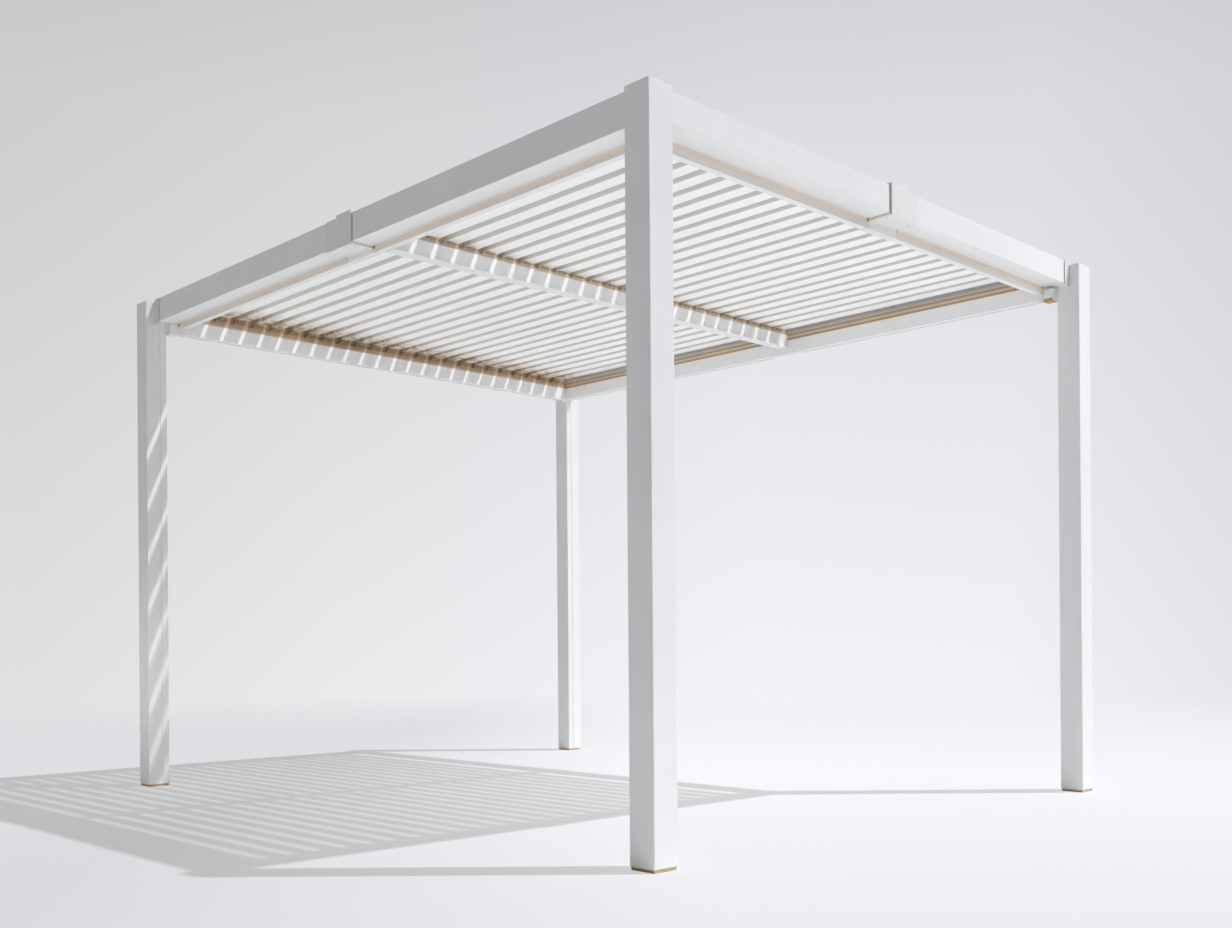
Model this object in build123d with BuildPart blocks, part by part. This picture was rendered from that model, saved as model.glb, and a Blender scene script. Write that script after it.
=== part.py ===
from build123d import *
from math import cos, radians, sin
import os

# Louvred pergola, in millimetres. The origin is the middle of the footprint on the ground.
# X runs along the long side, Y towards the back, Z up.

# Footprint and posts
length = 3600.0
width = 2920.0
post_size = 106.0
post_height = 2420.0
post_wall = 4.0
post_corner_radius = 3.0
groove_width = 7.0
groove_depth = 2.4
groove_from_outer_edge = 69.0

# Feet and caps
foot_height = 12.0
foot_inset = 2.5
foot_chamfer = 3.0
cap_height = 5.0
cap_chamfer = 1.0
cap_plug_depth = 14.0
fit_gap = 0.3

# Ring of beams: a closed outer box, and on its inner side an open gutter that hangs lower
ring_rise = 14.0
beam_inset = 50.0
beam_width = 135.0
box_width = 105.0
long_beam_height = 116.0
side_beam_height = 104.0
shallow_gutter_depth = 138.0
deep_gutter_depth = 172.0
beam_wall = 3.0
beam_edge_radius = 1.5

# Trim on the outer face of the gutter
trim_thickness = 2.0
trim_drop = 3.0

# Middle beam between the two roof bays, to the right of the middle
middle_beam_shift = 160.0
middle_beam_width = 46.0
middle_beam_depth = 142.0
middle_ledge_width = 7.0
middle_ledge_height = 5.0

# Comb rails that carry the slats, taller along the ring than on the middle beam
rail_width = 14.0
rail_height = 46.0
rail_tooth_height = 20.0
middle_rail_height = 18.0
middle_tooth_height = 8.0
tooth_taper = 10.0

# Slats
slat_width = 58.0
slat_depth = 40.0
slat_pitch = 104.0
slat_tilt = 3.0
slat_lip_width = 10.0
slat_lip_thickness = 2.5
slat_corner_radius = 1.0
slat_wall = 2.0
slat_head_room = 13.0

# Sleeves over the joints of each side, and collars at the posts
sleeve_length = 184.0
sleeve_cap_length = 102.0
sleeve_plate = 5.0
sleeve_sole = 10.0
sleeve_skin = 3.0
sleeve_rise = 10.0
left_joint_shift = 110.0
collar_length = 42.0
collar_plate = 3.0
collar_sole = 10.0
collar_return = 24.0
bracket_wall = 3.0

# Levels and plan positions that follow
half_length = length / 2
half_width = width / 2
ring_top = post_height + ring_rise
slat_rise = slat_width * sin(radians(slat_tilt))
seat_width = slat_width * cos(radians(slat_tilt))
slat_seat = ring_top - slat_head_room - slat_depth - slat_rise
gutter_top = slat_seat - rail_height
middle_base = ring_top - middle_beam_depth
middle_top = slat_seat - middle_rail_height
corner_depth = post_size - beam_inset
inner_reach = beam_inset + beam_width
bay_depth = width - 2 * inner_reach
slat_count = int(bay_depth // slat_pitch)

os.makedirs("parts", exist_ok=True)


def save(builder, name):
    builder.part.label = name
    export_step(builder.part, f"parts/{name}.step")


def bar(left, right, low, high):
    """One straight wall of a section, from its four limits."""
    with Locations(((left + right) / 2, (low + high) / 2)):
        Rectangle(right - left, high - low)


class Side:
    """One side of the ring, seen along its own direction, with depth measured inward."""

    def __init__(self, along, inward, half, reach, height, gutter_depth, joint, cap_end):
        self.along = Vector(*along)
        self.inward = Vector(*inward)
        self.half = half
        self.height = height
        self.joint = joint
        self.cap_end = cap_end
        self.foot = self.inward * (beam_inset - reach)
        self.base = ring_top - height
        self.gutter_base = ring_top - gutter_depth

    def section_plane(self, distance):
        """Plane across the beam, with its corner at the bottom of the outer face."""
        origin = self.foot + self.along * distance + Vector(0, 0, self.base)
        return Plane(origin=origin, x_dir=self.inward, z_dir=self.along)

    def level_plane(self, level):
        """Level plane with X along the side and Y inward from the outer face."""
        return Plane(origin=self.foot + Vector(0, 0, level), x_dir=self.along, z_dir=(0, 0, 1))

    def end_at(self, depth):
        """How far the beam runs at a depth: to the post, and past its corner to the mitre."""
        return self.half - post_size - max(0, depth - corner_depth)

    def run(self, direction, start, near, far, short=0):
        """Plan of a strip between two depths, from start to the beam's end or short of it."""
        ends = [(direction * (self.end_at(near) - short), near)]
        if near < corner_depth < far:
            ends.append((direction * (self.end_at(near) - short), corner_depth))
        ends.append((direction * (self.end_at(far) - short), far))
        Polygon((start, near), *ends, (start, far), align=None)


long_side = (half_length, half_width, long_beam_height)
short_side = (half_width, half_length, side_beam_height)

sides = {
    "front": Side((1, 0, 0), (0, 1, 0), *long_side, shallow_gutter_depth, 0, 1),
    "right": Side((0, 1, 0), (-1, 0, 0), *short_side, shallow_gutter_depth, 0, -1),
    "back": Side((-1, 0, 0), (0, -1, 0), *long_side, deep_gutter_depth, -middle_beam_shift, -1),
    "left": Side((0, -1, 0), (1, 0, 0), *short_side, deep_gutter_depth, left_joint_shift, 1),
}

# The beam halves of each side, as direction along the side and name
halves = {
    "front": {1: "front_beam_right", -1: "front_beam_left"},
    "right": {1: "right_beam_back", -1: "right_beam_front"},
    "back": {1: "back_beam_left", -1: "back_beam_right"},
    "left": {1: "left_beam_front", -1: "left_beam_back"},
}

corners = {
    "front_left": (-1, -1),
    "front_right": (1, -1),
    "back_left": (-1, 1),
    "back_right": (1, 1),
}


# Posts
def post(x_side, y_side):
    centre_x = x_side * (half_length - post_size / 2)
    centre_y = y_side * (half_width - post_size / 2)
    groove_x = -x_side * (post_size - groove_depth) / 2
    groove_y = y_side * (post_size / 2 - groove_from_outer_edge)
    with BuildPart() as tube:
        with BuildSketch(Plane((centre_x, centre_y, foot_height))):
            RectangleRounded(post_size, post_size, post_corner_radius)
            Rectangle(post_size - 2 * post_wall, post_size - 2 * post_wall, mode=Mode.SUBTRACT)
            with Locations((groove_x, groove_y)):
                Rectangle(groove_depth, groove_width, mode=Mode.SUBTRACT)
        extrude(amount=post_height - foot_height - cap_height)
    return tube


def foot(x_side, y_side):
    centre_x = x_side * (half_length - post_size / 2)
    centre_y = y_side * (half_width - post_size / 2)
    with BuildPart() as block:
        with BuildSketch(Plane((centre_x, centre_y, 0))):
            RectangleRounded(post_size - 2 * foot_inset, post_size - 2 * foot_inset, post_corner_radius)
        extrude(amount=foot_height)
        chamfer(block.faces().sort_by(Axis.Z)[0].edges(), foot_chamfer)
    return block


def cap(x_side, y_side):
    centre_x = x_side * (half_length - post_size / 2)
    centre_y = y_side * (half_width - post_size / 2)
    plug_size = post_size - 2 * post_wall - 2 * fit_gap
    with BuildPart() as lid:
        with BuildSketch(Plane((centre_x, centre_y, post_height - cap_height))):
            RectangleRounded(post_size, post_size, post_corner_radius)
        extrude(amount=cap_height)
        chamfer(lid.faces().sort_by(Axis.Z)[-1].edges(), cap_chamfer)
        with BuildSketch(Plane((centre_x, centre_y, post_height - cap_height))):
            Rectangle(plug_size, plug_size)
            Rectangle(plug_size - 2 * post_wall, plug_size - 2 * post_wall, mode=Mode.SUBTRACT)
        extrude(amount=-cap_plug_depth)
    return lid


for corner, (x_side, y_side) in corners.items():
    save(post(x_side, y_side), f"post_{corner}")
    save(foot(x_side, y_side), f"foot_plate_{corner}")
    save(cap(x_side, y_side), f"post_cap_{corner}")


# Ring beams
def beam_half(side, direction):
    """A box and a gutter with a shelf for the rails, hollowed up to a plate at the mitred end."""
    with BuildPart() as beam:
        with BuildSketch(side.level_plane(side.base)):
            side.run(direction, side.joint, 0, box_width)
        extrude(amount=side.height)
        outer_face = beam.faces().sort_by(lambda face: (face.center() - side.foot).dot(side.inward))[0]
        long_edges = outer_face.edges().group_by(SortBy.LENGTH)[-1]
        fillet(long_edges, beam_edge_radius)
        with BuildSketch(side.level_plane(side.gutter_base)):
            side.run(direction, side.joint, box_width - beam_wall, beam_width)
        extrude(amount=gutter_top - side.gutter_base)
        with BuildSketch(side.level_plane(side.base + beam_wall)):
            side.run(direction, side.joint, beam_wall, box_width - beam_wall, beam_wall)
        extrude(amount=side.height - 2 * beam_wall, mode=Mode.SUBTRACT)
        with BuildSketch(side.level_plane(side.gutter_base + beam_wall)):
            side.run(direction, side.joint, box_width, beam_width - beam_wall, beam_wall)
        extrude(amount=gutter_top - side.gutter_base, mode=Mode.SUBTRACT)
        with BuildSketch(side.level_plane(gutter_top - beam_wall)):
            side.run(direction, side.joint, beam_width - rail_width, beam_width)
        extrude(amount=beam_wall)
    return beam


for side_name, names in halves.items():
    for direction, beam_name in names.items():
        save(beam_half(sides[side_name], direction), beam_name)


# Trim strips below the beams, from the sleeve to the mitre
for side_name, side in sides.items():
    trim_base = side.gutter_base - trim_drop
    trim_far = box_width - beam_wall
    with BuildPart() as trim:
        for direction in (1, -1):
            start = side.joint + direction * sleeve_length / 2
            with BuildSketch(side.level_plane(trim_base)):
                side.run(direction, start, trim_far - trim_thickness, trim_far)
            extrude(amount=side.base - trim_base)
    save(trim, f"gutter_trim_{side_name}")


# Middle beam
middle_left = middle_beam_shift - middle_beam_width / 2
middle_right = middle_beam_shift + middle_beam_width / 2

with BuildPart() as middle_beam:
    with BuildSketch(Plane.XZ.offset(half_width - inner_reach)):
        bar(middle_left, middle_right, middle_base, middle_top)
        bar(
            middle_left - middle_ledge_width,
            middle_right + middle_ledge_width,
            middle_base,
            middle_base + middle_ledge_height,
        )
        with Locations((middle_beam_shift, (middle_base + middle_top) / 2)):
            Rectangle(
                middle_beam_width - 2 * beam_wall,
                middle_top - middle_base - 2 * middle_ledge_height,
                mode=Mode.SUBTRACT,
            )
    extrude(amount=-bay_depth)
save(middle_beam, "middle_beam")


# Comb rails under the ends of the slats, with one sloped tooth for each slat
def comb_rail(bay_edge, direction, height, tooth_height):
    """Rail flush with the edge of a bay. Direction points out of the bay, over the beam."""
    with BuildPart() as rail:
        with BuildSketch(Plane.YZ.offset(bay_edge)):
            bar(-bay_depth / 2, bay_depth / 2, slat_seat - height, slat_seat - tooth_height)
            with Locations((0, slat_seat)):
                with GridLocations(slat_pitch, 0, slat_count, 1):
                    Polygon(
                        (-seat_width / 2 - tooth_taper, -tooth_height),
                        (seat_width / 2 + tooth_taper, -tooth_height),
                        (seat_width / 2, 0),
                        (-seat_width / 2, slat_rise),
                        align=None,
                    )
        extrude(amount=direction * rail_width)
    return rail


bay_end = half_length - inner_reach
save(comb_rail(bay_end, 1, rail_height, rail_tooth_height), "slat_rail_right_outer")
save(comb_rail(middle_right, -1, middle_rail_height, middle_tooth_height), "slat_rail_right_inner")
save(comb_rail(middle_left, 1, middle_rail_height, middle_tooth_height), "slat_rail_left_inner")
save(comb_rail(-bay_end, -1, rail_height, rail_tooth_height), "slat_rail_left_outer")


# Plain rails along the front and back, past the ends of the comb rails
for y_name, y_side in {"front": -1, "back": 1}.items():
    with BuildPart() as edge_rail:
        with BuildSketch(Plane((0, y_side * (bay_depth + rail_width) / 2, gutter_top))):
            Rectangle(2 * (bay_end + rail_width), rail_width)
        extrude(amount=rail_height)
    save(edge_rail, f"edge_rail_{y_name}")


# Slats: box profiles with a rain lip along the upper edge, standing on their lower front corner
bays = {
    "right": (middle_right - rail_width, bay_end + rail_width),
    "left": (-bay_end - rail_width, middle_left + rail_width),
}

for bay_name, (start, end) in bays.items():
    with BuildPart() as slats:
        with BuildSketch(Plane.YZ.offset(start)) as profiles:
            with Locations((-seat_width / 2, slat_seat + slat_rise)):
                with GridLocations(slat_pitch, 0, slat_count, 1):
                    Polygon(
                        (0, 0),
                        (slat_width, 0),
                        (slat_width, slat_depth),
                        (-slat_lip_width, slat_depth),
                        (-slat_lip_width, slat_depth - slat_lip_thickness),
                        (0, slat_depth - slat_lip_thickness),
                        rotation=-slat_tilt,
                        align=None,
                    )
            fillet(profiles.vertices(), slat_corner_radius)
            with Locations((-seat_width / 2, slat_seat + slat_rise)):
                with GridLocations(slat_pitch, 0, slat_count, 1):
                    Polygon(
                        (slat_wall, slat_wall),
                        (slat_width - slat_wall, slat_wall),
                        (slat_width - slat_wall, slat_depth - slat_wall),
                        (slat_wall, slat_depth - slat_wall),
                        rotation=-slat_tilt,
                        align=None,
                        mode=Mode.SUBTRACT,
                    )
        extrude(amount=end - start)
    save(slats, f"slats_{bay_name}_bay")


# Sleeves over the joints
def sleeve(side):
    """Folded plate outside and under the beam, with a taller cap over the half nearer one end."""
    gutter_low = side.gutter_base - side.base
    gutter_face = box_width - beam_wall
    cap_start = side.cap_end * (sleeve_length / 2 - sleeve_cap_length)
    with BuildPart() as cover:
        with BuildSketch(side.section_plane(side.joint - sleeve_length / 2)):
            bar(-sleeve_plate, 0, -sleeve_sole, side.height)
            bar(-sleeve_plate, gutter_face, -sleeve_sole, 0)
            bar(gutter_face - sleeve_skin, gutter_face, gutter_low - sleeve_skin, 0)
            bar(gutter_face - sleeve_skin, beam_width, gutter_low - sleeve_skin, gutter_low)
        extrude(amount=sleeve_length)
        with BuildSketch(side.section_plane(side.joint + cap_start)):
            bar(-sleeve_plate - sleeve_skin, -sleeve_plate, -sleeve_sole, side.height + sleeve_rise)
            bar(-sleeve_plate, box_width, side.height, side.height + sleeve_rise)
        extrude(amount=side.cap_end * sleeve_cap_length)
    return cover


for side_name, side in sides.items():
    save(sleeve(side), f"splice_sleeve_{side_name}")


# Collars where the beams meet the posts: two angle plates at each post, and a boxed bracket
# under the mitre that closes the corner between the post and the gutters
corner_sides = {
    "front_left": (("front", -1), ("left", 1)),
    "front_right": (("front", 1), ("right", -1)),
    "back_left": (("back", 1), ("left", -1)),
    "back_right": (("back", -1), ("right", 1)),
}

bracket_top = ring_top - long_beam_height
bracket_size = beam_inset + box_width - beam_wall - trim_thickness - post_size
bracket_centre = post_size + bracket_size / 2

for corner, pair in corner_sides.items():
    with BuildPart() as collars:
        for side_name, direction in pair:
            side = sides[side_name]
            with BuildSketch(side.section_plane(direction * side.end_at(0))):
                bar(-collar_plate, 0, -collar_sole, side.height)
                bar(-collar_plate, collar_return, -collar_sole, 0)
            extrude(amount=-direction * collar_length)
        x_side, y_side = corners[corner]
        centre_x = x_side * (half_length - bracket_centre)
        centre_y = y_side * (half_width - bracket_centre)
        bracket_base = min(sides[side_name].gutter_base for side_name, direction in pair)
        with BuildSketch(Plane((centre_x, centre_y, bracket_base))):
            Rectangle(bracket_size, bracket_size)
        extrude(amount=bracket_top - bracket_base)
        with BuildSketch(Plane((centre_x, centre_y, bracket_base + bracket_wall))):
            Rectangle(bracket_size - 2 * bracket_wall, bracket_size - 2 * bracket_wall)
        extrude(amount=bracket_top - bracket_base, mode=Mode.SUBTRACT)
    save(collars, f"collars_{corner}")
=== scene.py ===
import math
import bmesh
import bpy
from mathutils import Matrix, Vector


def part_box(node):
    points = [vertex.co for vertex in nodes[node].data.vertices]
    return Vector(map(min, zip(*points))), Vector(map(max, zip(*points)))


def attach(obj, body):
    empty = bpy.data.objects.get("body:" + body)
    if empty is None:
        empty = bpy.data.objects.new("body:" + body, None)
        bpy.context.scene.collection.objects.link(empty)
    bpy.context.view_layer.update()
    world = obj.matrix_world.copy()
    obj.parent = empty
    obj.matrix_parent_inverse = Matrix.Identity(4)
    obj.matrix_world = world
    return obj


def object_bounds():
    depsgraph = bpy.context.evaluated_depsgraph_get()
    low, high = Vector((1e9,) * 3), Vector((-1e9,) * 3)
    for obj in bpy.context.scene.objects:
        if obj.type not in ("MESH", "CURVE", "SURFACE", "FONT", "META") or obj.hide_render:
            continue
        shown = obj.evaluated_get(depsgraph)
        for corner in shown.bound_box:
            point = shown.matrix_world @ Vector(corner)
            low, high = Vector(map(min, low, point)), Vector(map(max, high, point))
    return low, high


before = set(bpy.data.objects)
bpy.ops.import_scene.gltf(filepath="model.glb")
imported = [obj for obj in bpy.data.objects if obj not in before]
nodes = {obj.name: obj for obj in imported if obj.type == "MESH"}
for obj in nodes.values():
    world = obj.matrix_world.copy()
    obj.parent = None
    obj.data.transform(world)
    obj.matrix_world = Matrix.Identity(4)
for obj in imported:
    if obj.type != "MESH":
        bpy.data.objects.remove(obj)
cad_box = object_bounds()
cad_low, cad_high = cad_box

# Where the picture was taken from, in metres and degrees
photo_width = 1232
camera_place = Vector((4.502, -4.246, 0.706))
camera_heading = 135.525
camera_roll = -0.433
focal_pixels = 1281.2
shift_pixels = Vector((-5.3, 177.5))
sensor_width = 36.0

# Level directions across the picture and away from the camera
heading = math.radians(camera_heading)
aside_axis = Vector((math.sin(heading), -math.cos(heading), 0))
away_axis = Vector((math.cos(heading), math.sin(heading), 0))

# Light: angles in degrees, the sun's as the way towards it
sun_heading = 45.3
sun_height = 60.0
sun_strength = 3.6
sun_spread = 0.9
sun_colour = (0.962, 0.977, 1.0)
sky_strength = 0.07
sky_colour = (1.0, 0.985, 0.97, 1)
glow_size = 7.0
glow_level = 0.004
glow_strength = 0.36
glow_colour = (1.0, 0.985, 0.965)
side_lamp_place = Vector((4.2, 2.4, 2.7))
side_lamp_aim = Vector((1.7, 0.7, 1.9))
side_lamp_power = 24.0
side_lamp_size = 1.6
low_lamp_place = Vector((-0.5, -2.7, 0.35))
low_lamp_aim = Vector((-1.75, -1.41, 0.45))
low_lamp_power = 0.9
low_lamp_size = 0.8
low_lamp_spread = 50.0

# Floor and backdrop. The backdrop's first list goes upwards and its second from left to right
floor_radius = 60.0
floor_fade = (4.5, 11.0)
floor_bounce = (0.77, 0.77, 0.77, 1)
floor_seen = (0.722, 0.757, 0.83, 1)
floor_glow = (0.965, 0.945, 0.945, 1)
floor_glow_share = 0.63
# Painted shade on the floor where it is seen: darker to the left and on the near side
floor_dim_left = ((-1.6, 0.82), (0.3, 1.0))
floor_dim_near = ((-3.0, 0.93), (0.5, 1.0))
backdrop_rise = ((-0.05, 0.90), (0.17, 0.815), (0.37, 0.723), (0.45, 0.65))
backdrop_across = (
    (-0.42, (0.84, 0.84, 0.85, 1)),
    (-0.214, (0.92, 0.92, 0.94, 1)),
    (0.1, (0.99, 1.0, 1.045, 1)),
    (0.29, (0.98, 0.99, 1.045, 1)),
    (0.43, (0.88, 0.89, 0.94, 1)),
)

# Paint colours
white_frame = (0.84, 0.84, 0.85, 1)
# Darkening of faces that look down, painted shade
underside_shade = 0.90
white_fittings = (0.80, 0.795, 0.785, 1)
white_slats = (0.90, 0.90, 0.90, 1)
# Painted shade on the slats: beige on their shaded front sides, tan near their left ends
slat_front_painted_shade = (0.80, 0.765, 0.71, 1)
slat_end_painted_shade = (0.40, 0.27, 0.15, 1)
tan_rails = (0.60, 0.47, 0.34, 1)
comb_tan = (0.50, 0.37, 0.24, 1)
# Painted shade for the comb rails, under the slats
comb_painted_shade = (0.34, 0.23, 0.13, 1)
comb_light = (0.66, 0.55, 0.43, 1)
tan_rail_foot = (0.50, 0.33, 0.17, 1)
tan_feet = (0.80, 0.57, 0.31, 1)
trim_orange = (0.84, 0.70, 0.57, 1)
trim_beige = (0.75, 0.69, 0.62, 1)
trim_grey = (0.75, 0.72, 0.67, 1)
rail_beige = (0.66, 0.58, 0.49, 1)
seal_brown = (0.56, 0.50, 0.43, 1)
steel = (0.62, 0.61, 0.60, 1)
plug_grey = (0.78, 0.78, 0.77, 1)

# Slats, as in the solids
slat_width = 0.058
slat_depth = 0.040
slat_pitch = 0.104
slat_tilt = math.radians(3.0)
slat_wall = 0.002

# Ring, as in the solids
ring_top = 2.434
post_size = 0.106
beam_inset = 0.050
box_width = 0.105
gutter_face = 0.102
long_beam_height = 0.116
side_beam_height = 0.104
deep_gutter = 0.172
middle_beam_shift = 0.160
left_joint_shift = 0.110
sleeve_half = 0.092
sleeve_sole = 0.010
collar_length = 0.042
collar_sole = 0.010
collar_return = 0.024
trim_thickness = 0.002
beam_wall = 0.003
corner_depth = post_size - beam_inset
bracket_size = beam_inset + box_width - beam_wall - trim_thickness - post_size

# Tints by depth below the top of a trim, and by depth below the foot of a rail
trim_bands = (
    (0.0, trim_orange),
    (0.006, trim_orange),
    (0.012, trim_beige),
    (0.018, trim_beige),
    (0.024, trim_grey),
)
rail_bands = (
    (-0.046, rail_beige),
    (-0.034, rail_beige),
    (-0.031, tan_rail_foot),
    (-0.024, tan_rail_foot),
    (-0.021, rail_beige),
    (-0.013, rail_beige),
    (-0.010, tan_rail_foot),
    (0.0, tan_rail_foot),
)
# On the comb rails, the dark band highest above the foot, under the slats, is painted shade
comb_bands = (
    (-0.070, comb_painted_shade),
    (-0.042, comb_painted_shade),
    (-0.020, comb_tan),
    (-0.010, comb_tan),
    (-0.007, comb_light),
    (0.0, comb_light),
)


# Share of the painted tan shade, standing for shade and warm bounce light from the rails, by distance
# from the left end of a slat, at the left side and at the middle
slat_end_shade_bands = ((0.0, 1.0), (0.10, 1.0), (0.20, 0.35), (0.32, 0.0))
middle_end_shade_bands = ((0.0, 0.7), (0.03, 0.5), (0.10, 0.0))

# Paint texture: noise scales for each metre, and the bump's height in metres
brush_across = 170.0
brush_along = 1.3
broad_scale = 2.3
peel_scale = 420.0
uneven_scale = 24.0
bump_strength = 0.12
bump_height = 0.0006

# Small parts
strip_thickness = 0.002
strip_clearance = 0.0003
strip_head_room = 0.008
strip_bevel = 0.0004
plug_thickness = 0.003
plug_clearance = 0.0003
plug_bevel = 0.0006
plug_rim = 0.005
plug_sink = 0.001
clip_length = 0.014
clip_width = 0.044
clip_height = 0.005
clip_bevel = 0.001
screw_radius = 0.0042
screw_height = 0.0022
screw_sides = 12
sole_screw_depths = (0.26, 0.78)
sole_screw_inset = 0.2
seal_width = 0.0025
seal_depth = 0.004
seal_height = 0.0015
seal_drop = 0.003
seal_bevel = 0.0004
stop_length = 0.012
stop_depth = 0.004
stop_height = 0.010
shoe_wall = 0.0012
shoe_height = 0.012
shoe_lip = 0.0015


class Graph:
    """A node tree with short calls for adding and joining nodes."""

    def __init__(self, tree):
        self.tree = tree
        self.tree.nodes.clear()

    def add(self, kind, values=None, **settings):
        node = self.tree.nodes.new(kind)
        for name, value in settings.items():
            setattr(node, name, value)
        for name, value in (values or {}).items():
            if isinstance(value, bpy.types.NodeSocket):
                self.tree.links.new(value, node.inputs[name])
            else:
                node.inputs[name].default_value = value
        return node

    def math(self, operation, first, second=0.0):
        return self.add("ShaderNodeMath", {0: first, 1: second}, operation=operation).outputs[0]

    def dot(self, vector, direction):
        values = {0: vector, 1: direction}
        return self.add("ShaderNodeVectorMath", values, operation="DOT_PRODUCT").outputs["Value"]

    def spread(self, value, low, high, to_low=0.0, to_high=1.0):
        """The value moved from one range to another, and held at its ends."""
        values = {"Value": value, "From Min": low, "From Max": high, "To Min": to_low, "To Max": to_high}
        return self.add("ShaderNodeMapRange", values).outputs[0]

    def mix(self, factor, first, second, blend="MIX"):
        values = {0: factor, 6: first, 7: second}
        return self.add("ShaderNodeMix", values, data_type="RGBA", blend_type=blend).outputs[2]

    def ramp(self, value, stops):
        """Colour that runs through the stops, each one a value and its colour or grey level."""
        low, high = stops[0][0], stops[-1][0]
        node = self.add("ShaderNodeValToRGB", {0: self.spread(value, low, high)})
        points = node.color_ramp.elements
        while len(points) < len(stops):
            points.new(0.5)
        for point, (place, _) in zip(list(points), stops):
            point.position = (place - low) / (high - low)
        for point, (_, colour) in zip(points, stops):
            point.color = colour if isinstance(colour, tuple) else (colour, colour, colour, 1)
        return node.outputs[0]

    def noise(self, vector, scale, detail):
        values = {"Vector": vector, "Scale": scale, "Detail": detail}
        return self.add("ShaderNodeTexNoise", values).outputs["Fac"]


def paint(name, colour, along, streaks=0.05, roughness=0.42, tint=None):
    """Coated metal with faint brushed streaks along one axis and a fine orange-peel skin.

    The tint, where there is one, is a function that changes the colour over the surface.
    """
    material = bpy.data.materials.new(name)
    material.use_nodes = True
    graph = Graph(material.node_tree)
    place = graph.add("ShaderNodeTexCoord").outputs["Object"]
    stretch = [brush_across] * 3
    stretch[along] = brush_along
    drawn = graph.add("ShaderNodeMapping", {"Vector": place, "Scale": stretch}).outputs[0]
    brushed = graph.noise(drawn, 1.0, 5.0)
    broad = graph.noise(place, broad_scale, 3.0)
    peel = graph.noise(place, peel_scale, 2.0)
    worn = graph.spread(graph.math("ADD", brushed, broad), 0.75, 1.25, 1 - streaks, 1.0)
    base = tint(graph, place, colour) if tint else colour
    toned = graph.mix(1.0, base, worn, blend="MULTIPLY")
    rough = graph.spread(brushed, 0.3, 0.7, roughness - 0.05, roughness + 0.06)
    height = graph.math("ADD", graph.math("MULTIPLY", brushed, 0.5), peel)
    relief = {"Strength": bump_strength, "Distance": bump_height, "Height": height}
    bump = graph.add("ShaderNodeBump", relief).outputs[0]
    surface = {"Base Color": toned, "Roughness": rough, "Normal": bump}
    shader = graph.add("ShaderNodeBsdfPrincipled", surface)
    graph.add("ShaderNodeOutputMaterial", {"Surface": shader.outputs[0]})
    return material


def shade_faces_looking_down(graph, place, colour):
    """The same colour, darkened on faces that look down: painted shade."""
    normal = graph.add("ShaderNodeNewGeometry").outputs["True Normal"]
    shade = graph.spread(graph.dot(normal, (0, 0, -1)), 0.5, 0.9, 1.0, underside_shade)
    return graph.mix(1.0, colour, shade, blend="MULTIPLY")


def bands_below(top, stops):
    """A tint in level bands, by how far a point lies below the top."""

    def tint(graph, place, colour):
        level = graph.add("ShaderNodeSeparateXYZ", {0: place}).outputs["Z"]
        return graph.ramp(graph.math("SUBTRACT", top, level), stops)

    return tint


def slat_painted_shade(left_end, end_bands):
    """Slats with painted shade: beige on their front sides, which face away from the sun, and uneven tan
    near their left ends for shade and warm bounce light from the rails.
    """

    def tint(graph, place, colour):
        normal = graph.add("ShaderNodeNewGeometry").outputs["True Normal"]
        front = graph.spread(graph.dot(normal, (0, -1, 0)), 0.5, 0.9)
        shaded_sides = graph.mix(front, colour, slat_front_painted_shade)
        along = graph.add("ShaderNodeSeparateXYZ", {0: place}).outputs["X"]
        near = graph.ramp(graph.math("SUBTRACT", along, left_end), end_bands)
        uneven = graph.spread(graph.noise(place, uneven_scale, 3.0), 0.38, 0.62, 0.35, 1.0)
        return graph.mix(graph.math("MULTIPLY", near, uneven), shaded_sides, slat_end_painted_shade)

    return tint


def longest_axis(name):
    low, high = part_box(name)
    size = high - low
    return max(range(3), key=lambda axis: size[axis])


# Materials for the solids, by the axis that each piece runs along
frame_paints = [
    paint(f"white_frame_{name}", white_frame, axis, tint=shade_faces_looking_down)
    for axis, name in enumerate("xyz")
]
fitting_paint = paint("white_fittings", white_fittings, 2, tint=shade_faces_looking_down)
foot_paint = paint("tan_feet", tan_feet, 2, streaks=0.2)


def material_for(name):
    low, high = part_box(name)
    along = longest_axis(name)
    if name.startswith("foot_plate"):
        return foot_paint
    if name.startswith(("splice_sleeve", "collars")):
        return fitting_paint
    if name.startswith("slats"):
        end_bands = slat_end_shade_bands if name == "slats_left_bay" else middle_end_shade_bands
        return paint(name, white_slats, along, tint=slat_painted_shade(low.x, end_bands))
    if name.startswith("gutter_trim"):
        return paint(name, trim_beige, along, streaks=0.1, tint=bands_below(high.z, trim_bands))
    if name == "slat_rail_right_inner":
        return paint(name, comb_light, along, streaks=0.3, roughness=0.5)
    if name.startswith("slat_rail"):
        tint = bands_below(low.z, comb_bands)
        return paint(name, comb_tan, along, streaks=0.4, roughness=0.5, tint=tint)
    if name.startswith("edge_rail"):
        return paint(name, tan_rails, along, streaks=0.22, tint=bands_below(low.z, rail_bands))
    return frame_paints[along]


for name, node in nodes.items():
    node.data.materials.clear()
    node.data.materials.append(material_for(name))


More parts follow.
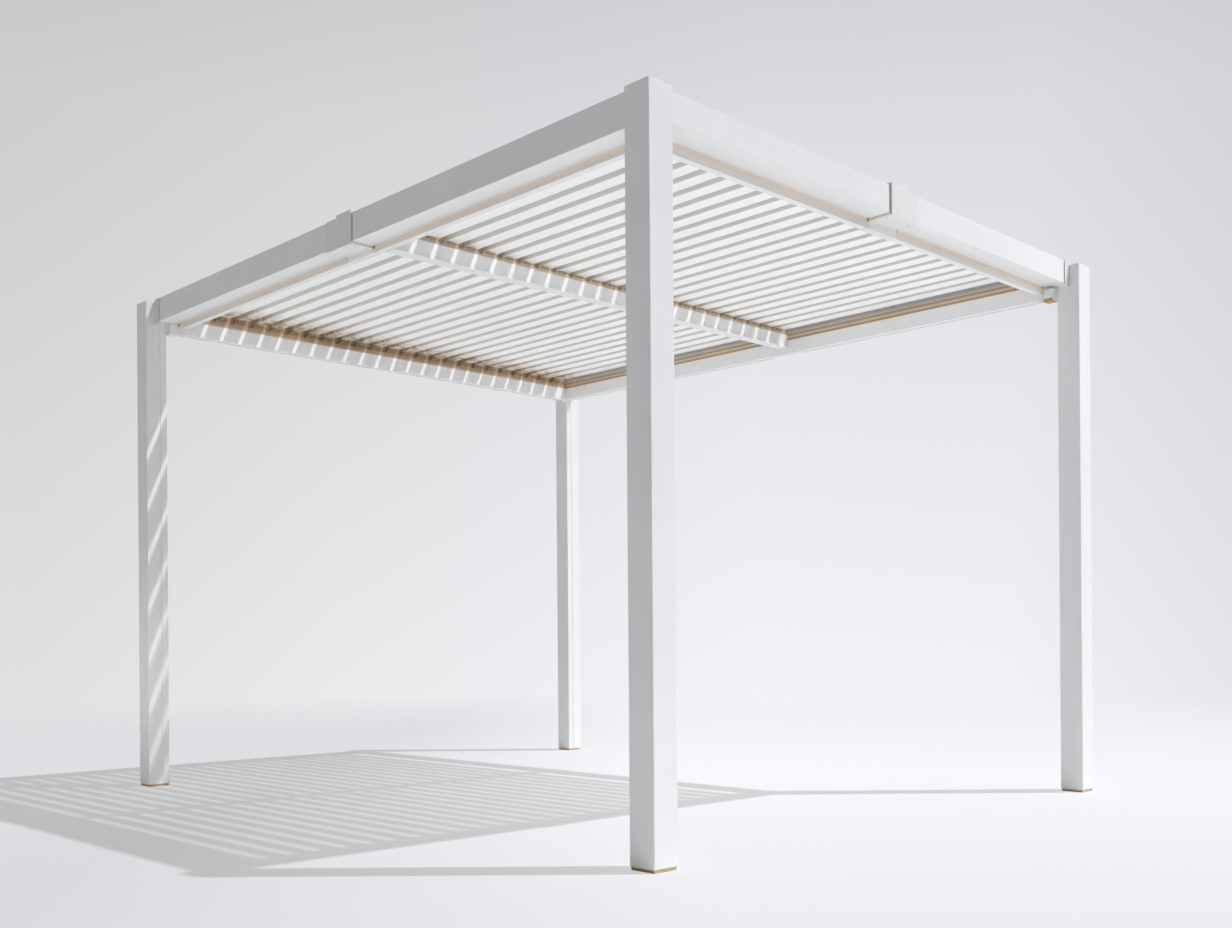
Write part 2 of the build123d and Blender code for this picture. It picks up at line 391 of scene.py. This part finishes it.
class Shape:
    """Points and faces gathered for one piece."""

    def __init__(self):
        self.points = []
        self.faces = []

    def skin(self, rings):
        """Faces over a row of rings with equal numbers of points, closed at both ends."""
        start = len(self.points)
        count = len(rings[0])
        for ring in rings:
            self.points.extend(ring)
        for row in range(len(rings) - 1):
            for step in range(count):
                first = start + row * count + step
                second = start + row * count + (step + 1) % count
                self.faces.append((first, second, second + count, first + count))
        last = start + (len(rings) - 1) * count
        self.faces.append(tuple(range(start + count - 1, start - 1, -1)))
        self.faces.append(tuple(range(last, last + count)))

    def block(self, low, high, bevel, place=Vector):
        """A bevelled block between two corners, with place turning its points into the frame."""

        def ring(inset, level):
            left, right = low[0] + inset, high[0] - inset
            near, far = low[1] + inset, high[1] - inset
            flat = [
                (left + bevel, near), (right - bevel, near), (right, near + bevel), (right, far - bevel),
                (right - bevel, far), (left + bevel, far), (left, far - bevel), (left, near + bevel),
            ]
            return [place((x, y, level)) for x, y in flat]

        self.skin([
            ring(bevel, low[2]),
            ring(0, low[2] + bevel),
            ring(0, high[2] - bevel),
            ring(bevel, high[2]),
        ])

    def screw(self, seat, direction):
        """A button head with a hexagon socket, on its seat and facing a direction."""
        turn = direction.to_track_quat("Z", "Y")

        def ring(radius, level, hexagon=False):
            points = []
            for step in range(screw_sides):
                angle = step * 2 * math.pi / screw_sides
                reach = radius * (math.cos(math.pi / 6) if hexagon and step % 2 else 1)
                spot = Vector((reach * math.cos(angle), reach * math.sin(angle), level))
                points.append(seat + turn @ spot)
            return points

        self.skin([
            ring(screw_radius, 0),
            ring(screw_radius, screw_height * 0.4),
            ring(screw_radius * 0.8, screw_height * 0.9),
            ring(screw_radius * 0.6, screw_height),
            ring(screw_radius * 0.5, screw_height, hexagon=True),
            ring(screw_radius * 0.5, screw_height * 0.35, hexagon=True),
        ])

    def make(self, name, material, slot):
        mesh = bpy.data.meshes.new(name)
        mesh.from_pydata(self.points, [], self.faces)
        shell = bmesh.new()
        shell.from_mesh(mesh)
        bmesh.ops.recalc_face_normals(shell, faces=shell.faces)
        shell.to_mesh(mesh)
        shell.free()
        mesh.materials.append(material)
        piece = bpy.data.objects.new(name, mesh)
        bpy.context.collection.objects.link(piece)
        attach(piece, "root")
        return piece


class Side:
    """One side of the ring: distances along it, depths inward from its outer face, and levels."""

    def __init__(self, along, inward, half, reach, height, joint):
        self.along = Vector(along)
        self.inward = Vector(inward)
        self.half = half
        self.foot = self.inward * (beam_inset - reach)
        self.base = ring_top - height
        self.joint = joint

    def place(self, point):
        distance, depth, level = point
        return self.foot + self.along * distance + self.inward * depth + Vector((0, 0, level))


half_length, half_width = cad_high.x, cad_high.y
long_side = (half_length, half_width, long_beam_height)
short_side = (half_width, half_length, side_beam_height)
sides = {
    "front": Side((1, 0, 0), (0, 1, 0), *long_side, 0),
    "right": Side((0, 1, 0), (-1, 0, 0), *short_side, 0),
    "back": Side((-1, 0, 0), (0, -1, 0), *long_side, -middle_beam_shift),
    "left": Side((0, -1, 0), (1, 0, 0), *short_side, left_joint_shift),
}
down = Vector((0, 0, -1))


def slat_middles(bay):
    low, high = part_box(bay)
    count = int((high.y - low.y) / slat_pitch) + 1
    return [(index - (count - 1) / 2) * slat_pitch for index in range(count)]


# Plugs in the open ends of the slats, with a sunk middle
def add_plugs(bay):
    low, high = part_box(bay)
    seat_width = slat_width * math.cos(slat_tilt)
    corner_level = low.z + slat_width * math.sin(slat_tilt)
    turn = Matrix.Rotation(-slat_tilt, 3, "X")
    plugs = Shape()
    for end, outward in ((low.x, -1), (high.x, 1)):
        for middle in slat_middles(bay):
            corner = Vector((0, middle - seat_width / 2, corner_level))

            def ring(inset, sunk):
                edge = slat_wall + plug_clearance + inset
                flat = [
                    (edge, edge), (slat_width - edge, edge),
                    (slat_width - edge, slat_depth - edge), (edge, slat_depth - edge),
                ]
                level = end - outward * (plug_clearance + sunk)
                return [corner + turn @ Vector((0, y, z)) + Vector((level, 0, 0)) for y, z in flat]

            plugs.skin([
                ring(0, plug_thickness),
                ring(0, plug_bevel),
                ring(plug_bevel, 0),
                ring(plug_rim, 0),
                ring(plug_rim + plug_bevel, plug_sink),
            ])
    plugs.make(f"{bay}_end_plugs", plug_paint, "white_slats")


# Clips under the slats at both ends of each bay, against the inner faces of the comb rails
def add_clips(bay, left_edge, right_edge):
    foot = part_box(bay)[0].z
    clips = Shape()
    for edge, inward in ((left_edge, 1), (right_edge, -1)):
        for middle in slat_middles(bay):
            across = sorted((edge, edge + inward * clip_length))
            corner = (across[0], middle - clip_width / 2, foot - clip_height)
            other = (across[1], middle + clip_width / 2, foot)
            clips.block(corner, other, clip_bevel)
    clips.make(f"{bay}_clips", clip_paint, "tan_rails")


# Seals beside sleeves and collars, screws under them, and stops at the ends of the trims
def add_fittings():
    for name, side in sides.items():
        seals, screws, stops = Shape(), Shape(), Shape()
        for direction in (-1, 1):
            end = side.joint + direction * sleeve_half
            edges = sorted((end, end + direction * seal_width))
            seals.block(
                (edges[0], -seal_depth, side.base - seal_drop),
                (edges[1], 0, ring_top - seal_height),
                seal_bevel,
                side.place,
            )
            seals.block(
                (edges[0], 0, side.base - seal_drop),
                (edges[1], gutter_face - seal_height, side.base),
                seal_bevel,
                side.place,
            )
            screw_place = end - direction * sole_screw_inset * sleeve_half
            for share in sole_screw_depths:
                seat = side.place((screw_place, share * gutter_face, side.base - sleeve_sole))
                screws.screw(seat, down)
            collar_end = direction * (side.half - post_size - collar_length)
            edges = sorted((collar_end, collar_end - direction * seal_width))
            seals.block(
                (edges[0], -seal_depth, side.base - seal_drop),
                (edges[1], 0, ring_top - seal_height),
                seal_bevel,
                side.place,
            )
            collar = direction * (side.half - post_size - collar_length / 2)
            screws.screw(side.place((collar, collar_return / 2, side.base - collar_sole)), down)
            trim_end = direction * (side.half - post_size - (box_width - corner_depth))
            for point, inward in ((end, 1), (trim_end, -1)):
                reach = sorted((point, point + direction * inward * stop_length))
                stops.block(
                    (reach[0], gutter_face - trim_thickness - stop_depth, side.base - stop_height),
                    (reach[1], gutter_face - trim_thickness, side.base),
                    seal_bevel,
                    side.place,
                )
        seals.make(f"sleeve_seals_{name}", seal_paint, "white_frame")
        screws.make(f"screws_{name}", steel_paint, "white_frame")
        stops.make(f"trim_stops_{name}", clip_paint, "beige_trim")


# Closing strips along the outer faces of the comb rails, behind the ends of the slats
def add_closing_strip(rail, bay, outward, material):
    low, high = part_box(rail)
    edge = low.x if outward < 0 else high.x
    reach = strip_clearance + strip_thickness
    across = sorted((edge + outward * strip_clearance, edge + outward * reach))
    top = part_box(bay)[1].z - strip_head_room
    strip = Shape()
    strip.block((across[0], low.y, low.z), (across[1], high.y, top), strip_bevel)
    strip.make(f"{rail}_closing_strip", material, "tan_rails")


# Shoe round the foot of the corner bracket at the back right post
def add_drain_shoe():
    far_x, far_y = half_length - post_size, half_width - post_size
    near_x, near_y = far_x - bracket_size, far_y - bracket_size
    base = ring_top - deep_gutter
    foot, top = base - shoe_lip, base + shoe_height
    outer_x, outer_y = near_x - shoe_wall, near_y - shoe_wall
    shoe = Shape()
    shoe.block((outer_x, outer_y, foot), (far_x, near_y, top), seal_bevel)
    shoe.block((outer_x, near_y, foot), (near_x, far_y, top), seal_bevel)
    shoe.block((near_x, near_y, foot), (far_x, far_y, base), seal_bevel)
    shoe.make("drain_shoe_back_right", clip_paint, "tan_rails")


plug_paint = paint("plug_grey", plug_grey, 0, streaks=0.08, roughness=0.5)
seal_paint = paint("seal_brown", seal_brown, 2, streaks=0.1, roughness=0.6)
clip_paint = paint("clip_tan", tan_rail_foot, 0, streaks=0.25, roughness=0.5)
steel_paint = paint("steel", steel, 2, streaks=0.08, roughness=0.35)

strip_paint = paint("strip_tan", comb_tan, 1, streaks=0.4, roughness=0.5)
light_strip_paint = paint("strip_light", comb_light, 1, streaks=0.3, roughness=0.5)

for bay in ("slats_left_bay", "slats_right_bay"):
    add_plugs(bay)
add_closing_strip("slat_rail_left_outer", "slats_left_bay", -1, strip_paint)
add_closing_strip("slat_rail_left_inner", "slats_left_bay", 1, light_strip_paint)
add_closing_strip("slat_rail_right_inner", "slats_right_bay", -1, light_strip_paint)
add_closing_strip("slat_rail_right_outer", "slats_right_bay", 1, light_strip_paint)
add_clips(
    "slats_left_bay",
    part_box("slat_rail_left_outer")[1].x,
    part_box("slat_rail_left_inner")[0].x,
)
add_clips(
    "slats_right_bay",
    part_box("slat_rail_right_inner")[1].x,
    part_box("slat_rail_right_outer")[0].x,
)
add_fittings()
add_drain_shoe()


# Floor, which throws light back and takes the shadow, and fades into the backdrop
def make_floor():
    bpy.ops.mesh.primitive_circle_add(vertices=96, radius=floor_radius, fill_type="NGON")
    floor = bpy.context.object
    floor.name = "floor"
    material = bpy.data.materials.new("floor")
    material.use_nodes = True
    graph = Graph(material.node_tree)
    place = graph.add("ShaderNodeTexCoord").outputs["Object"]
    distance = graph.add("ShaderNodeVectorMath", {0: place}, operation="LENGTH").outputs["Value"]
    bounce = graph.add("ShaderNodeBsdfDiffuse", {"Color": floor_bounce}).outputs[0]
    lit = graph.add("ShaderNodeBsdfDiffuse", {"Color": floor_seen}).outputs[0]
    glow = graph.add("ShaderNodeEmission", {"Color": floor_glow}).outputs[0]
    dark = graph.add("ShaderNodeEmission", {"Strength": 0.0}).outputs[0]
    clear = graph.add("ShaderNodeBsdfTransparent").outputs[0]
    path = graph.add("ShaderNodeLightPath").outputs
    seen = graph.add("ShaderNodeMixShader", {0: floor_glow_share, 1: lit, 2: glow}).outputs[0]
    # Painted shade: the seen floor dimmed towards the left and the near side
    left = graph.ramp(graph.dot(place, aside_axis), floor_dim_left)
    near = graph.ramp(graph.dot(place, away_axis), floor_dim_near)
    level = graph.math("MULTIPLY", left, near)
    dimmed = graph.add("ShaderNodeMixShader", {0: level, 1: dark, 2: seen}).outputs[0]
    fade = graph.spread(distance, *floor_fade)
    faded = graph.add("ShaderNodeMixShader", {0: fade, 1: dimmed, 2: clear}).outputs[0]
    parts = {0: path["Is Camera Ray"], 1: bounce, 2: faded}
    either = graph.add("ShaderNodeMixShader", parts)
    graph.add("ShaderNodeOutputMaterial", {"Surface": either.outputs[0]})
    floor.data.materials.append(material)


# World: soft light from all round, and where it is seen a pale backdrop, darker up and left
def make_world():
    world = bpy.data.worlds.new("studio")
    bpy.context.scene.world = world
    world.use_nodes = True
    graph = Graph(world.node_tree)
    direction = graph.add("ShaderNodeTexCoord").outputs["Generated"]
    rise = graph.ramp(graph.dot(direction, (0, 0, 1)), backdrop_rise)
    across = graph.ramp(graph.dot(direction, aside_axis), backdrop_across)
    shade = graph.mix(1.0, rise, across, blend="MULTIPLY")
    seen = graph.add("ShaderNodeBackground", {"Color": shade})
    light = graph.add("ShaderNodeBackground", {"Color": sky_colour, "Strength": sky_strength})
    path = graph.add("ShaderNodeLightPath").outputs
    direct = graph.math("MAXIMUM", path["Is Camera Ray"], path["Is Glossy Ray"])
    direct = graph.math("MAXIMUM", direct, path["Is Transmission Ray"])
    either = graph.add("ShaderNodeMixShader", {0: direct, 1: light.outputs[0], 2: seen.outputs[0]})
    graph.add("ShaderNodeOutputWorld", {"Surface": either.outputs[0]})


def add_lamp(name, kind, strength, colour, place, towards):
    """A lamp at a place, shining along a direction and out of the camera's sight."""
    lamp = bpy.data.lights.new(name, kind)
    lamp.energy = strength
    lamp.color = colour
    holder = bpy.data.objects.new(name, lamp)
    bpy.context.collection.objects.link(holder)
    holder.location = place
    holder.rotation_euler = (-towards).to_track_quat("Z", "Y").to_euler()
    holder.visible_camera = False
    holder.visible_glossy = False
    return lamp


def make_lamps():
    facing, height = math.radians(sun_heading), math.radians(sun_height)
    from_sun = Vector((
        math.cos(facing) * math.cos(height),
        math.sin(facing) * math.cos(height),
        math.sin(height),
    ))
    sun = add_lamp("key", "SUN", sun_strength, sun_colour, (0, 0, 4), -from_sun)
    sun.angle = math.radians(sun_spread)
    glow_power = glow_strength * math.pi * glow_size ** 2
    glow_place, up = Vector((0, 0, glow_level)), Vector((0, 0, 1))
    glow = add_lamp("floor_glow", "AREA", glow_power, glow_colour, glow_place, up)
    glow.shape = "SQUARE"
    glow.size = glow_size
    side_path = side_lamp_aim - side_lamp_place
    side = add_lamp("side", "AREA", side_lamp_power, sun_colour, side_lamp_place, side_path)
    side.shape = "DISK"
    side.size = side_lamp_size
    low_path = low_lamp_aim - low_lamp_place
    low = add_lamp("low", "AREA", low_lamp_power, sky_colour[:3], low_lamp_place, low_path)
    low.shape = "DISK"
    low.size = low_lamp_size
    low.spread = math.radians(low_lamp_spread)


def make_camera():
    camera = bpy.data.cameras.new("camera")
    camera.sensor_width = sensor_width
    camera.lens = focal_pixels / photo_width * sensor_width
    camera.shift_x = shift_pixels.x / photo_width
    camera.shift_y = shift_pixels.y / photo_width
    camera.clip_end = 200
    roll = math.radians(camera_roll)
    up = Vector((0, 0, 1))
    right = math.cos(roll) * aside_axis + math.sin(roll) * up
    above = math.cos(roll) * up - math.sin(roll) * aside_axis
    turned = Matrix((right, above, -away_axis)).transposed().to_4x4()
    view = bpy.data.objects.new("camera", camera)
    bpy.context.collection.objects.link(view)
    view.matrix_world = Matrix.Translation(camera_place) @ turned
    bpy.context.scene.camera = view


make_floor()
make_world()
make_lamps()
make_camera()
bpy.context.scene.view_settings.view_transform = "Standard"
